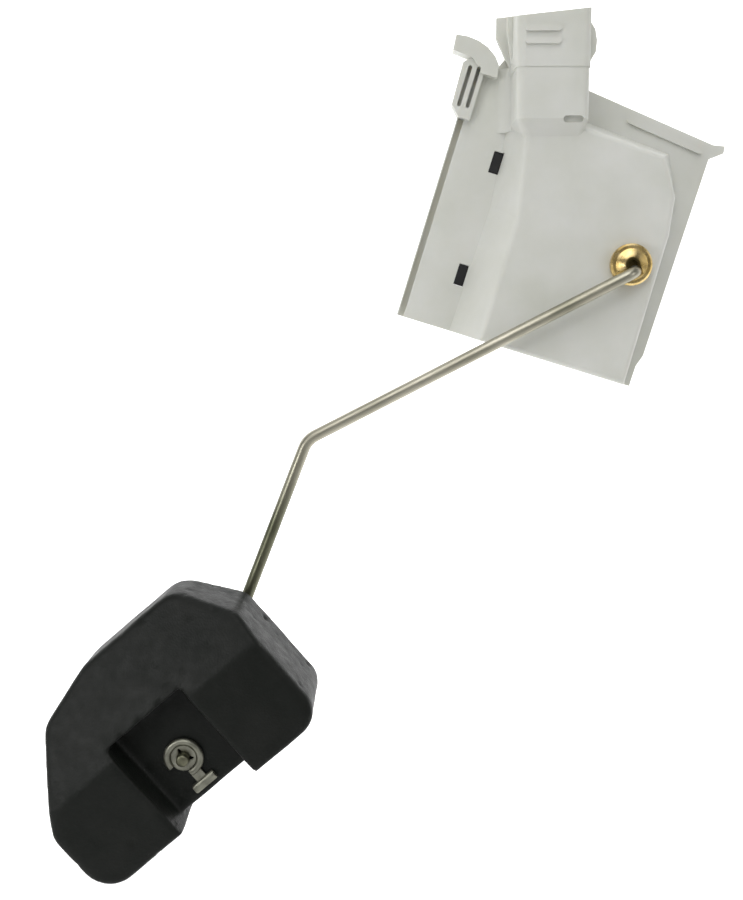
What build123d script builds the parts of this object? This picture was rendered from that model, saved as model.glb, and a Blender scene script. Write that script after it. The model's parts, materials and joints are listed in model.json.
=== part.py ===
"""Fuel-level sender: a moulded resistor housing with a swinging wire arm and a foam float.

Row frame, millimetres: origin on the arm's pivot axis where it meets the rear mounting
face, +X to the right seen from the front, +Z up along the connector socket, and the
front of the object towards -Y. "Depth" below is the distance in front of the rear face.
"""
from build123d import *
from math import asin, cos, degrees, radians, sin, tan
import os

os.makedirs("parts", exist_ok=True)

# ---------------------------------------------------------------- driving dimensions
# Housing: a rectangular plate, turned clockwise from the socket's axis, with a raised box.
PLATE_TURN = 17.0            # degrees
PLATE_LEFT = -42.0
PLATE_RIGHT = 11.0
PLATE_BOTTOM = -23.5
PLATE_TOP_LEFT = 34.5        # height of the top edge at its left end
PLATE_TOP_RIGHT = 29.6       # height of the top edge at its right end
PLATE_THICK = 2.5
GROOVE_TOP = 19.6
GROOVE_WIDTH = 1.2           # rail groove just inside the plate's left edge
GROOVE_FLOOR = 0.5           # plate thickness left under the groove
GROOVE_LIP = 0.25            # wall left between the groove and the edge
BOX_DEPTH = 14.0             # rear face to the box's front face
BOX_ROOT = 1.2               # depth where the box's walls start, inside the plate
WALL = 1.6
CAVITY_FLOOR = BOX_DEPTH - WALL

# Rear cover, flush in a recess of the rear face.
COVER_THICK = 2.0
COVER_GAP = 0.1
COVER_LEFT = -29.5
COVER_RIGHT = 7.6
COVER_BOTTOM = -22.0
COVER_TOP = 23.4
WINDOW_ACROSS = -31.4        # snap windows at the foot of the box's sloping wall
WINDOW_HEIGHTS = (12.9, -11.5)
WINDOW_WIDTH = 2.1
WINDOW_LENGTH = 4.6

# Connector socket, upright along Z.
SOCKET_LEFT = -23.6
SOCKET_RIGHT = -9.2
SOCKET_FRONT = 16.5
SOCKET_REAR = 3.0
SOCKET_WALL = 1.5
SOCKET_FLOOR = 31.0          # height of the socket's inside floor
SOCKET_TOP = 50.4            # height of the mouth over the socket's middle
MOUTH_RISE_RIGHT = 6.0       # degrees that the mouth climbs to the right
MOUTH_RISE_REAR = 11.7       # degrees that the mouth climbs to the rear
SOCKET_FOOT = 28.6           # below this height the socket narrows into the box
SOCKET_FOOT_END = 25.4
COLLAR_FOOT = 38.6
GUIDE_DEPTHS = (3.6, 8.0)    # two guide ribs down the socket's left side
GUIDE_REACHES = (3.1, 1.3)
BLEND_R = 3.2                # concave blend from the plate to the socket's left wall

# Pivot: the hub turns in a pressed bush; the wire sits in a hole beside the axis.
HUB_HEAD_R = 4.2
HUB_SHANK_R = 3.15
BUSH_BORE_R = 3.2
BUSH_OUTER_R = 3.8
BUSH_FLANGE = 0.6
HUB_FACE = 17.2
HUB_RIM_FACE = 16.2          # the hub's face is a low cone from here up to its middle
CENTRE_HOLE_R = 0.9
CENTRE_HOLE_FLOOR = 15.8
TAIL_R = 2.2
TAIL_FLAT = 1.7              # half the distance across the tail's two flats
TAIL_END = 5.2

# Wire arm.
WIRE_R = 1.2
WIRE_DEPTH = 18.5            # depth of the plane in which the arm is bent
WIRE_OFFSET = 1.5            # the arm's first run passes this far below the pivot axis
RUN1_LENGTH = 74.3
RUN1_ANGLE = 207.2           # degrees from +X towards +Z
RUN2_LENGTH = 64.6
RUN2_ANGLE = 248.8
HUB_BEND_R = 2.4
ELBOW_BEND_R = 5.0
FLOAT_BEND_R = 3.0
WIRE_HUB_END = 12.4
WIRE_FLOAT_END = 38.4

# Float: closed-cell foam block, turning on the wire's end.
FLOAT_TURN = 40.8            # degrees from +X towards +Z
FLOAT_BACK = 22.8
FLOAT_FRONT = 42.8
FLOAT_FACET_FROM = 9.1       # the front face slopes back beyond this line
FLOAT_FACET_DROP = 8.0
FLOAT_ACROSS = 26.2
POCKET_LEFT = -8.2
POCKET_RIGHT = 10.6
POCKET_TOP = 11.6
POCKET_FLOOR = 35.8
NOTCH_EDGE = -8.2            # the pocket's open side is set in to this line at the pocket's floor
NOTCH_FOOT = -11.0           # and slopes out to this line at the float's back
FLOAT_BORE_R = 1.28

# Resistor card and wiper.
SWEEP = 80.0                 # degrees of travel of the arm
CARD_BACK = COVER_THICK
CARD_THICK = 0.8
FILM = 0.1
CONTACT_R_OUTER = 19.2
CONTACT_R_INNER = 15.2
CARRIER_BACK = 6.4
CARRIER_FRONT = 9.6
CARRIER_HALF = 3.0
CARRIER_REACH = 12.0
CARRIER_BOSS_R = 3.9
STOP_R = 1.2
STOP_RADIUS = 9.5
STOP_GAP = 0.3
BLADE_THICK = 0.2

# Worked-out values.
SWEEP_MIDDLE = RUN1_ANGLE + PLATE_TURN - SWEEP / 2      # in the turned planes
COVER_WIDTH = COVER_RIGHT - COVER_LEFT
COVER_HEIGHT = COVER_TOP - COVER_BOTTOM
COVER_MIDDLE = ((COVER_LEFT + COVER_RIGHT) / 2, (COVER_BOTTOM + COVER_TOP) / 2)
CARD_FRONT = CARD_BACK + CARD_THICK
TRACK_FRONT = CARD_FRONT + FILM
FLOAT_DEPTH = FLOAT_FRONT - FLOAT_BACK


def turned_plane(depth, turn=-PLATE_TURN, origin=(0, 0)):
    """Plane parallel to the rear face at a depth, looking out of the front, turned about Y."""
    along = (cos(radians(turn)), 0, sin(radians(turn)))
    return Plane(origin=(origin[0], -depth, origin[1]), x_dir=along, z_dir=(0, -1, 0))


def upright_plane(depth, origin=(0, 0)):
    """Plane parallel to the rear face at a depth, with X to the right and Z up."""
    return turned_plane(depth, 0.0, origin)


def at_angle(radius, angle):
    """Point at a radius and an angle in degrees from the first axis of a plane."""
    return (radius * cos(radians(angle)), radius * sin(radians(angle)))


def shifted(start, length, angle):
    """Point a length away from a start point, at an angle in degrees."""
    step = at_angle(length, angle)
    return (start[0] + step[0], start[1] + step[1])


def finish(part, label):
    """Name a finished piece and write it."""
    part.label = label
    export_step(part, f"parts/{label}.step")


# The arm's points in the X-Z plane.
HUB_HOLE = at_angle(WIRE_OFFSET, RUN1_ANGLE + 90.0)
ELBOW = shifted(HUB_HOLE, RUN1_LENGTH, RUN1_ANGLE)
FLOAT_AXIS = shifted(ELBOW, RUN2_LENGTH, RUN2_ANGLE)

# ---------------------------------------------------------------- housing
BOX_BASE = [
    (-31.0, -23.5), (8.4, -23.5), (8.2, 8.0), (7.2, 17.0),
    (3.0, 25.4), (-20.0, 27.0), (-32.0, 22.5), (-30.4, 4.0),
]
BOX_FACE = [
    (-24.3, -23.5), (6.6, -23.5), (5.7, 8.0), (4.4, 15.5),
    (-0.2, 22.4), (-20.0, 23.2), (-28.0, 18.4), (-24.6, 2.0),
]
CAVITY_BACK = [(-28.0, -20.8), (6.2, -20.8), (5.6, 16.0), (1.6, 21.8), (-20.0, 22.4), (-28.0, 19.0)]
CAVITY_FACE = [(-22.6, -20.8), (4.8, -20.8), (3.6, 13.6), (-1.2, 20.2), (-20.0, 21.0), (-22.6, 17.0)]
SOCKET_MIDDLE = (SOCKET_LEFT + SOCKET_RIGHT) / 2
SOCKET_CENTRE_DEPTH = (SOCKET_FRONT + SOCKET_REAR) / 2
SOCKET_WIDTH = SOCKET_RIGHT - SOCKET_LEFT
SOCKET_DEEP = SOCKET_FRONT - SOCKET_REAR
BLADE_SPACING = 5.0
BLADE_WIDTH = 2.0
BLADE_SHEET = 0.8
BLADE_DEPTH = 10.0           # depth of the middle of the socket's blades
BLADE_TOP = 43.0
TERMINAL_BEND = 23.6         # height at which the terminals turn back to the card
TERMINAL_FOOT = 19.6
TERMINAL_ROOF = 27.4
BLADE_FRONT = BLADE_DEPTH + BLADE_SHEET / 2
PEG_R = 1.0
PEG_PLACES = ((3.4, -18.2), (3.0, 12.6))
PEG_BOSS_R = 2.0
PEG_END = 7.0
STOP_OFFSET = degrees(asin((CARRIER_HALF + STOP_R + STOP_GAP) / STOP_RADIUS))
STOP_ANGLES = (SWEEP_MIDDLE + SWEEP / 2 + STOP_OFFSET, SWEEP_MIDDLE - SWEEP / 2 - STOP_OFFSET)
STOP_END = 6.6


def plate_outline():
    """Plate with a pointed ear at the right end of its top edge and a stepped lower right corner."""
    Polyline(
        (PLATE_LEFT, PLATE_BOTTOM), (10.2, PLATE_BOTTOM), (10.2, -19.0), (PLATE_RIGHT, -16.5),
        (PLATE_RIGHT, 26.6), (13.6, 28.6), (13.4, PLATE_TOP_RIGHT + 0.5), (PLATE_RIGHT, PLATE_TOP_RIGHT),
        (-35.6, PLATE_TOP_LEFT), (-37.2, 31.0), (PLATE_LEFT, 30.4), close=True,
    )


with BuildPart() as housing:
    # Plate.
    with BuildSketch(turned_plane(0)):
        with BuildLine():
            plate_outline()
        make_face()
    extrude(amount=PLATE_THICK)
    # Rail groove along the left edge.
    with BuildSketch(turned_plane(GROOVE_FLOOR)):
        with Locations((PLATE_LEFT + GROOVE_LIP + GROOVE_WIDTH / 2, (PLATE_BOTTOM + GROOVE_TOP) / 2)):
            Rectangle(GROOVE_WIDTH, GROOVE_TOP - PLATE_BOTTOM + 1.0)
    extrude(amount=PLATE_THICK, mode=Mode.SUBTRACT)
    # Raised box with sloping walls.
    with BuildSketch(turned_plane(BOX_ROOT)):
        with BuildLine():
            Polyline(*BOX_BASE, close=True)
        make_face()
    with BuildSketch(turned_plane(BOX_DEPTH)):
        with BuildLine():
            Polyline(*BOX_FACE, close=True)
        make_face()
    loft(ruled=True)
    box_rim = housing.faces().filter_by(Axis.Y).sort_by(Axis.Y)[0].edges()
    fillet(box_rim, radius=1.2)
    # Socket body, narrowing at its foot into the box.
    with BuildSketch(Plane.XY.offset(SOCKET_FOOT)):
        with Locations((SOCKET_MIDDLE, -SOCKET_CENTRE_DEPTH)):
            RectangleRounded(SOCKET_WIDTH, SOCKET_DEEP, 1.6)
    extrude(amount=SOCKET_TOP + 3.0 - SOCKET_FOOT)
    with BuildSketch(Plane.XY.offset(SOCKET_FOOT)):
        with Locations((SOCKET_MIDDLE, -SOCKET_CENTRE_DEPTH)):
            RectangleRounded(SOCKET_WIDTH, SOCKET_DEEP, 1.6)
    with BuildSketch(Plane.XY.offset(SOCKET_FOOT_END)):
        with Locations((SOCKET_MIDDLE + 0.6, -(SOCKET_REAR + BOX_DEPTH) / 2)):
            RectangleRounded(SOCKET_WIDTH - 2.4, BOX_DEPTH - SOCKET_REAR - 0.2, 1.6)
    loft(ruled=True)
    # Concave blend from the plate to the socket's left wall.
    blend_centre = (SOCKET_LEFT - BLEND_R, -PLATE_THICK - BLEND_R)
    with BuildSketch(Plane.XY.offset(SOCKET_FOOT - 1.0)):
        with BuildLine():
            CenterArc(blend_centre, BLEND_R, 0, 90)
            Polyline(
                (SOCKET_LEFT - BLEND_R, -PLATE_THICK), (SOCKET_LEFT - BLEND_R, 0.5 - PLATE_THICK),
                (SOCKET_LEFT + 0.5, 0.5 - PLATE_THICK), (SOCKET_LEFT + 0.5, -PLATE_THICK - BLEND_R),
                (SOCKET_LEFT, -PLATE_THICK - BLEND_R),
            )
        make_face()
    extrude(amount=13.0)
    # Guide ribs, which run out into the wall below.
    for guide_depth, guide_reach in zip(GUIDE_DEPTHS, GUIDE_REACHES):
        with BuildSketch(upright_plane(guide_depth - 0.6)):
            with BuildLine():
                Polyline(
                    (SOCKET_LEFT + 0.5, 40.4), (SOCKET_LEFT + 0.5, SOCKET_TOP + 3.0),
                    (SOCKET_LEFT - guide_reach, SOCKET_TOP + 3.0), (SOCKET_LEFT - guide_reach, 46.4),
                    (SOCKET_LEFT - 0.3, 40.4), close=True,
                )
            make_face()
        extrude(amount=1.2)
    # Collar round the mouth and a latch ramp on the right-hand wall.
    with BuildSketch(Plane.XY.offset(COLLAR_FOOT)):
        with Locations((SOCKET_MIDDLE, -SOCKET_CENTRE_DEPTH)):
            RectangleRounded(SOCKET_WIDTH + 0.4, SOCKET_DEEP + 0.4, 1.8)
    extrude(amount=SOCKET_TOP + 3.0 - COLLAR_FOOT)
    with BuildSketch(upright_plane(9.0)):
        with BuildLine():
            Polyline(
                (SOCKET_RIGHT, 39.4), (SOCKET_RIGHT + 1.4, 41.8), (SOCKET_RIGHT + 1.6, 44.0),
                (SOCKET_RIGHT + 1.2, 46.2), (SOCKET_RIGHT, 48.0), close=True,
            )
        make_face()
    extrude(amount=5.0)
    # Two grip bars on the front of the collar.
    for bar_height in (43.4, 45.8):
        with BuildSketch(upright_plane(SOCKET_FRONT)):
            with Locations((SOCKET_LEFT + 5.0, bar_height)):
                SlotOverall(7.0, 1.1)
        extrude(amount=0.75)
    # Latch finger and lug at the plate's top left corner.
    with BuildSketch(turned_plane(0.6)):
        with BuildLine():
            Polyline(
                (-36.5, 29.0), (-37.0, 31.6), (-38.2, 33.0), (-40.2, 34.3), (-42.4, 35.0), (-44.8, 35.2),
                (-47.2, 34.9), (-46.9, 31.8), (-44.8, 31.6), (-42.6, 31.4), (-41.0, 30.2), (-40.6, 29.0),
                close=True,
            )
        make_face()
    extrude(amount=4.2)
    with BuildSketch(turned_plane(0.6)):
        with BuildLine():
            Polyline(
                (-39.4, 19.4), (-42.0, 19.4), (-43.9, 21.4), (-44.2, 30.2), (-43.0, 31.4), (-39.4, 30.6),
                close=True,
            )
        make_face()
    extrude(amount=3.6)
    # Two grooves down the lug.
    with BuildSketch(turned_plane(1.6)):
        with Locations(Location((-42.5, 25.7), 90), Location((-40.7, 25.9), 90)):
            SlotOverall(8.6, 0.8)
    extrude(amount=4.0, mode=Mode.SUBTRACT)
    # Low rib along the plate's top margin.
    with BuildSketch(turned_plane(PLATE_THICK)):
        with Locations(Location((0.6, 28.3), -5.9)):
            SlotOverall(17.0, 1.0)
    extrude(amount=0.6)
    # Mouth cut at a slope, then the socket's inside.
    mouth = Plane(
        origin=(SOCKET_MIDDLE, -SOCKET_CENTRE_DEPTH, SOCKET_TOP),
        x_dir=(1, 0, tan(radians(MOUTH_RISE_RIGHT))),
        z_dir=(-tan(radians(MOUTH_RISE_RIGHT)), -tan(radians(MOUTH_RISE_REAR)), 1),
    )
    with BuildSketch(mouth):
        Rectangle(60, 60)
    extrude(amount=10.0, mode=Mode.SUBTRACT)
    with BuildSketch(Plane.XY.offset(SOCKET_FLOOR)):
        with Locations((SOCKET_MIDDLE, -SOCKET_CENTRE_DEPTH)):
            RectangleRounded(SOCKET_WIDTH - 2 * SOCKET_WALL, SOCKET_DEEP - 2 * SOCKET_WALL, 0.8)
    extrude(amount=30.0, mode=Mode.SUBTRACT)
    # Small blind recess low on the socket's front.
    with BuildSketch(upright_plane(SOCKET_FRONT - 1.2)):
        with Locations((SOCKET_RIGHT - 3.1, 28.5)):
            SlotOverall(4.0, 1.3)
    extrude(amount=4.0, mode=Mode.SUBTRACT)
    # Cavity for the resistor card and wiper.
    with BuildSketch(turned_plane(0)):
        with BuildLine():
            Polyline(*CAVITY_BACK, close=True)
        make_face()
    with BuildSketch(turned_plane(CAVITY_FLOOR)):
        with BuildLine():
            Polyline(*CAVITY_FACE, close=True)
        make_face()
    loft(ruled=True, mode=Mode.SUBTRACT)
    # Room for the terminals, which turn back to the card here.
    with BuildSketch(upright_plane(COVER_THICK)):
        with Locations((SOCKET_MIDDLE, (TERMINAL_FOOT - 0.5 + TERMINAL_ROOF) / 2)):
            Rectangle(BLADE_SPACING + BLADE_WIDTH + 1.6, TERMINAL_ROOF - TERMINAL_FOOT + 0.5)
    extrude(amount=BLADE_FRONT + 0.8 - COVER_THICK, mode=Mode.SUBTRACT)
    # Recess for the rear cover and its two snap tongues.
    with BuildSketch(turned_plane(0)):
        with Locations(COVER_MIDDLE):
            RectangleRounded(COVER_WIDTH + 2 * COVER_GAP, COVER_HEIGHT + 2 * COVER_GAP, 2.0 + COVER_GAP)
        for height in WINDOW_HEIGHTS:
            with Locations((WINDOW_ACROSS, height)):
                Rectangle(2 * WINDOW_WIDTH, WINDOW_LENGTH)
    extrude(amount=COVER_THICK, mode=Mode.SUBTRACT)
    with BuildSketch(turned_plane(0)):
        for height in WINDOW_HEIGHTS:
            with Locations((WINDOW_ACROSS, height)):
                Rectangle(WINDOW_WIDTH, WINDOW_LENGTH)
    extrude(amount=BOX_DEPTH, mode=Mode.SUBTRACT)
    # Peg bosses and travel stops inside.
    with BuildSketch(turned_plane(COVER_THICK + 0.6)):
        with Locations(*PEG_PLACES):
            Circle(PEG_BOSS_R)
    extrude(amount=CAVITY_FLOOR + 0.4 - COVER_THICK - 0.6)
    with BuildSketch(turned_plane(0)):
        with Locations(*PEG_PLACES):
            Circle(PEG_R)
    extrude(amount=PEG_END + 0.3, mode=Mode.SUBTRACT)
    with BuildSketch(turned_plane(STOP_END)):
        for stop_angle in STOP_ANGLES:
            with Locations(at_angle(STOP_RADIUS, stop_angle)):
                Circle(STOP_R)
    extrude(amount=CAVITY_FLOOR + 0.4 - STOP_END)
    # Bore for the bush, and slots for the two terminals.
    with BuildSketch(turned_plane(0)):
        Circle(BUSH_OUTER_R)
    extrude(amount=BOX_DEPTH + 1.0, mode=Mode.SUBTRACT)
    with BuildSketch(Plane.XY.offset(TERMINAL_BEND - 2.0)):
        with Locations((SOCKET_MIDDLE, -BLADE_DEPTH)):
            with GridLocations(BLADE_SPACING, 1, 2, 1):
                Rectangle(BLADE_WIDTH + 0.04, BLADE_SHEET + 0.04)
    extrude(amount=SOCKET_FLOOR + 1.0 - TERMINAL_BEND + 2.0, mode=Mode.SUBTRACT)
finish(housing.part, "housing")

# ---------------------------------------------------------------- rear cover
POCKETS_ACROSS = -19.0
POCKET_PITCH = 14.0

with BuildPart() as rear_cover:
    with BuildSketch(turned_plane(0)):
        with Locations(COVER_MIDDLE):
            RectangleRounded(COVER_WIDTH, COVER_HEIGHT, 2.0)
        for height in WINDOW_HEIGHTS:
            with Locations((WINDOW_ACROSS + COVER_GAP, height)):
                Rectangle(2 * WINDOW_WIDTH - 2 * COVER_GAP, WINDOW_LENGTH - 2 * COVER_GAP)
    extrude(amount=COVER_THICK)
    # Three shallow pockets in the rear face, with flat ribs between them.
    with BuildSketch(turned_plane(0)):
        with Locations((POCKETS_ACROSS, COVER_MIDDLE[1])), GridLocations(1, POCKET_PITCH, 1, 3):
            RectangleRounded(14.0, POCKET_PITCH - 2.0, 1.0)
    extrude(amount=0.5, mode=Mode.SUBTRACT)
    # Snap noses that stand up into the windows.
    with BuildSketch(turned_plane(COVER_THICK)):
        for height in WINDOW_HEIGHTS:
            with Locations((WINDOW_ACROSS, height)):
                Rectangle(WINDOW_WIDTH - 2 * COVER_GAP, WINDOW_LENGTH - 2 * COVER_GAP)
    extrude(amount=0.4)
    with BuildSketch(turned_plane(COVER_THICK)):
        with Locations(*PEG_PLACES):
            Circle(PEG_R)
    extrude(amount=PEG_END - COVER_THICK)
finish(rear_cover.part, "rear_cover")

# ---------------------------------------------------------------- pivot bush
with BuildPart() as pivot_bush:
    with BuildSketch(upright_plane(CAVITY_FLOOR)):
        Circle(BUSH_OUTER_R)
    extrude(amount=BOX_DEPTH - CAVITY_FLOOR)
    with BuildSketch(upright_plane(BOX_DEPTH)):
        Circle(HUB_HEAD_R - 0.1)
    extrude(amount=BUSH_FLANGE)
    with BuildSketch(upright_plane(0)):
        Circle(BUSH_BORE_R)
    extrude(amount=BOX_DEPTH + 2.0, mode=Mode.SUBTRACT)
finish(pivot_bush.part, "pivot_bush")

# ---------------------------------------------------------------- pivot hub
HEAD_BACK = BOX_DEPTH + BUSH_FLANGE + 0.1
SLOT_FLOOR = 16.0
SLOT_HALF = WIRE_R + 0.06
SHANK_END = 11.6

with BuildPart() as pivot_hub:
    with BuildSketch(upright_plane(SHANK_END)):
        Circle(HUB_SHANK_R)
    extrude(amount=HEAD_BACK - SHANK_END)
    # Turned head: a low cone with a broken edge and a centre hole.
    with BuildSketch(Plane.XY):
        with BuildLine():
            Polyline(
                (0, -HEAD_BACK), (HUB_HEAD_R, -HEAD_BACK), (HUB_HEAD_R, 0.4 - HUB_RIM_FACE),
                (HUB_HEAD_R - 0.4, -HUB_RIM_FACE), (HUB_HEAD_R - 1.0, -HUB_RIM_FACE), (1.5, -HUB_FACE),
                (CENTRE_HOLE_R, -HUB_FACE), (CENTRE_HOLE_R, -CENTRE_HOLE_FLOOR), (0, -CENTRE_HOLE_FLOOR),
                close=True,
            )
        make_face()
    revolve(axis=Axis.Y)
    # Tail with two flats that drives the wiper carrier, grooved for the retaining ring.
    with BuildSketch(turned_plane(TAIL_END, RUN1_ANGLE)):
        Circle(TAIL_R)
        Rectangle(2 * TAIL_R + 1.0, 2 * TAIL_FLAT, mode=Mode.INTERSECT)
    extrude(amount=SHANK_END - TAIL_END)
    with BuildSketch(upright_plane(5.7)):
        Circle(TAIL_R + 1.0)
        Circle(1.45, mode=Mode.SUBTRACT)
    extrude(amount=0.6, mode=Mode.SUBTRACT)
    # Eccentric hole for the wire, and the saw slot it bends through.
    with BuildSketch(upright_plane(WIRE_HUB_END - 0.1, HUB_HOLE)):
        Circle(WIRE_R + 0.03)
    extrude(amount=6.0, mode=Mode.SUBTRACT)
    with BuildSketch(turned_plane(SLOT_FLOOR, RUN1_ANGLE, HUB_HOLE)):
        with Locations((4.0 - SLOT_HALF / 2, 0)):
            Rectangle(8.0 + SLOT_HALF, 2 * SLOT_HALF)
    extrude(amount=3.0, mode=Mode.SUBTRACT)
finish(pivot_hub.part, "pivot_hub")

# ---------------------------------------------------------------- float arm
def arm_point(start, length, angle, depth=WIRE_DEPTH):
    """Point in space a length along the arm from a start point in the X-Z plane."""
    place = shifted(start, length, angle)
    return (place[0], -depth, place[1])


with BuildPart() as float_arm:
    with BuildLine():
        FilletPolyline(
            arm_point(HUB_HOLE, 0, 0, WIRE_HUB_END), arm_point(HUB_HOLE, 0, 0), arm_point(ELBOW, 0, 0),
            arm_point(FLOAT_AXIS, 0, 0), arm_point(FLOAT_AXIS, 0, 0, WIRE_FLOAT_END),
            radius=[HUB_BEND_R, ELBOW_BEND_R, FLOAT_BEND_R],
        )
    with BuildSketch(upright_plane(WIRE_HUB_END, HUB_HOLE)):
        Circle(WIRE_R)
    sweep()
    chamfer(float_arm.faces().sort_by(Axis.Y)[0].edges(), length=0.25)
finish(float_arm.part, "float_arm")

# ---------------------------------------------------------------- wiper and its carrier
with BuildPart() as wiper_carrier:
    with BuildSketch(turned_plane(CARRIER_BACK, RUN1_ANGLE)):
        Circle(CARRIER_BOSS_R)
        with Locations((CARRIER_REACH / 2, 0)):
            Rectangle(CARRIER_REACH, 2 * CARRIER_HALF)
    extrude(amount=CARRIER_FRONT - CARRIER_BACK)
    # Hole with two flats, driven by the hub's tail.
    with BuildSketch(turned_plane(CARRIER_BACK, RUN1_ANGLE)):
        Circle(TAIL_R + 0.02)
        Rectangle(2 * TAIL_R + 1.0, 2 * TAIL_FLAT + 0.04, mode=Mode.INTERSECT)
    extrude(amount=CARRIER_FRONT - CARRIER_BACK, mode=Mode.SUBTRACT)
    # Two raised ribs stiffen the arm.
    with BuildSketch(turned_plane(CARRIER_FRONT, RUN1_ANGLE)):
        with Locations((CARRIER_REACH / 2 + 1.5, 0)), GridLocations(1, 2 * CARRIER_HALF - 1.0, 1, 2):
            Rectangle(CARRIER_REACH - 4.0, 1.0)
    extrude(amount=0.8)
    with BuildSketch(turned_plane(CARRIER_BACK, RUN1_ANGLE)):
        with Locations((7.0, 0), (10.2, 0)):
            Circle(0.62)
    extrude(amount=6.0, mode=Mode.SUBTRACT)
finish(wiper_carrier.part, "wiper_carrier")

CONTACT_TIP = TRACK_FRONT + 0.02
with BuildPart() as wiper_blade:
    with BuildSketch(turned_plane(CARRIER_BACK - BLADE_THICK, RUN1_ANGLE)):
        with Locations((9.2, 0)):
            Rectangle(7.6, 4.4)
        with Locations((7.0, 0), (10.2, 0)):
            Circle(0.62, mode=Mode.SUBTRACT)
    extrude(amount=BLADE_THICK)
    # Two fingers slope back to the card, one for each track.
    for side, reach in ((1.2, CONTACT_R_OUTER), (-1.2, CONTACT_R_INNER)):
        finger_plane = Plane(
            origin=turned_plane(0, RUN1_ANGLE).from_local_coords((0, side, 0)),
            x_dir=turned_plane(0, RUN1_ANGLE).x_dir, z_dir=turned_plane(0, RUN1_ANGLE).y_dir,
        )
        with BuildSketch(finger_plane):
            with BuildLine():
                Polyline(
                    (12.8, -CARRIER_BACK), (12.8, -CARRIER_BACK + BLADE_THICK),
                    (reach + 0.8, -CONTACT_TIP - 0.75), (reach + 0.8, -CONTACT_TIP - 0.75 - BLADE_THICK),
                    (13.0, -CARRIER_BACK), close=True,
                )
            make_face()
        extrude(amount=0.7, both=True)
finish(wiper_blade.part, "wiper_blade")

with BuildPart() as wiper_contacts:
    with BuildSketch(turned_plane(CONTACT_TIP, RUN1_ANGLE)):
        with Locations((CONTACT_R_OUTER, 1.2), (CONTACT_R_INNER, -1.2)):
            Circle(0.5)
    extrude(amount=0.9)
    chamfer(wiper_contacts.faces().sort_by(Axis.Y)[-2:].edges(), length=0.2)
finish(wiper_contacts.part, "wiper_contacts")

with BuildPart() as wiper_rivets:
    with BuildSketch(turned_plane(CARRIER_BACK - BLADE_THICK, RUN1_ANGLE)):
        with Locations((7.0, 0), (10.2, 0)):
            Circle(0.6)
    extrude(amount=CARRIER_FRONT - CARRIER_BACK + BLADE_THICK)
    for head_depth in (CARRIER_BACK - BLADE_THICK - 0.4, CARRIER_FRONT):
        with BuildSketch(turned_plane(head_depth, RUN1_ANGLE)):
            with Locations((7.0, 0), (10.2, 0)):
                Circle(1.0)
        extrude(amount=0.4)
finish(wiper_rivets.part, "wiper_rivets")

# ---------------------------------------------------------------- washers and ring on the hub's tail
with BuildPart() as thrust_washer:
    with BuildSketch(upright_plane(10.7)):
        Circle(CARRIER_BOSS_R)
        Circle(TAIL_R + 0.06, mode=Mode.SUBTRACT)
    extrude(amount=0.5)
finish(thrust_washer.part, "thrust_washer")

with BuildPart() as hub_circlip:
    with BuildSketch(turned_plane(5.72, RUN1_ANGLE)):
        Circle(2.9)
        Circle(1.5, mode=Mode.SUBTRACT)
        with Locations((2.5, 0)):
            Rectangle(3.0, 2.2, mode=Mode.SUBTRACT)
    extrude(amount=0.5)
finish(hub_circlip.part, "hub_circlip")

# ---------------------------------------------------------------- resistor card
CARD_LEFT = -26.4
CARD_RIGHT = -5.6
CARD_BOTTOM = -18.6
CARD_TOP = 18.2


def terminal_foot(column, height=TERMINAL_FOOT):
    """Where a terminal's foot stands on the card, in the X-Z plane."""
    return (SOCKET_MIDDLE + column * BLADE_SPACING / 2, height)


with BuildPart() as resistor_card:
    with BuildSketch(turned_plane(CARD_BACK + 0.02)):
        with Locations(((CARD_LEFT + CARD_RIGHT) / 2, (CARD_BOTTOM + CARD_TOP) / 2)):
            RectangleRounded(CARD_RIGHT - CARD_LEFT, CARD_TOP - CARD_BOTTOM, 0.8)
    extrude(amount=CARD_THICK - 0.02)
    with BuildSketch(upright_plane(0)):
        with Locations(terminal_foot(-1, TERMINAL_FOOT + 1.4), terminal_foot(1, TERMINAL_FOOT + 1.4)):
            Circle(0.5)
    extrude(amount=CARD_FRONT + 1.0, mode=Mode.SUBTRACT)
finish(resistor_card.part, "resistor_card")

PAD_COUNT = 21
PAD_RANGE = SWEEP + 6.0
PAD_START = SWEEP_MIDDLE - PAD_RANGE / 2
with BuildPart() as contact_pads:
    with BuildSketch(turned_plane(CARD_FRONT)):
        with PolarLocations(CONTACT_R_OUTER, PAD_COUNT, PAD_START, PAD_RANGE, endpoint=True):
            Rectangle(3.0, 0.8)
    extrude(amount=FILM)
finish(contact_pads.part, "contact_pads")


def arc_band(inner, outer, half_angle):
    """Outline of a band between two radii, centred on the middle of the wiper's sweep."""
    start, end = SWEEP_MIDDLE - half_angle, SWEEP_MIDDLE + half_angle
    CenterArc((0, 0), outer, start, 2 * half_angle)
    Line(at_angle(outer, end), at_angle(inner, end))
    CenterArc((0, 0), inner, start, 2 * half_angle)
    Line(at_angle(inner, start), at_angle(outer, start))


with BuildPart() as resistor_track:
    with BuildSketch(turned_plane(CARD_FRONT)):
        with BuildLine():
            arc_band(CONTACT_R_OUTER + 1.5, CONTACT_R_OUTER + 3.3, SWEEP / 2 + 5.0)
        make_face()
    extrude(amount=FILM)
finish(resistor_track.part, "resistor_track")

with BuildPart() as return_track:
    with BuildSketch(turned_plane(CARD_FRONT)):
        with BuildLine():
            arc_band(CONTACT_R_INNER - 0.9, CONTACT_R_INNER + 0.9, SWEEP / 2 + 5.0)
        make_face()
    extrude(amount=FILM)
finish(return_track.part, "return_track")

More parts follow.
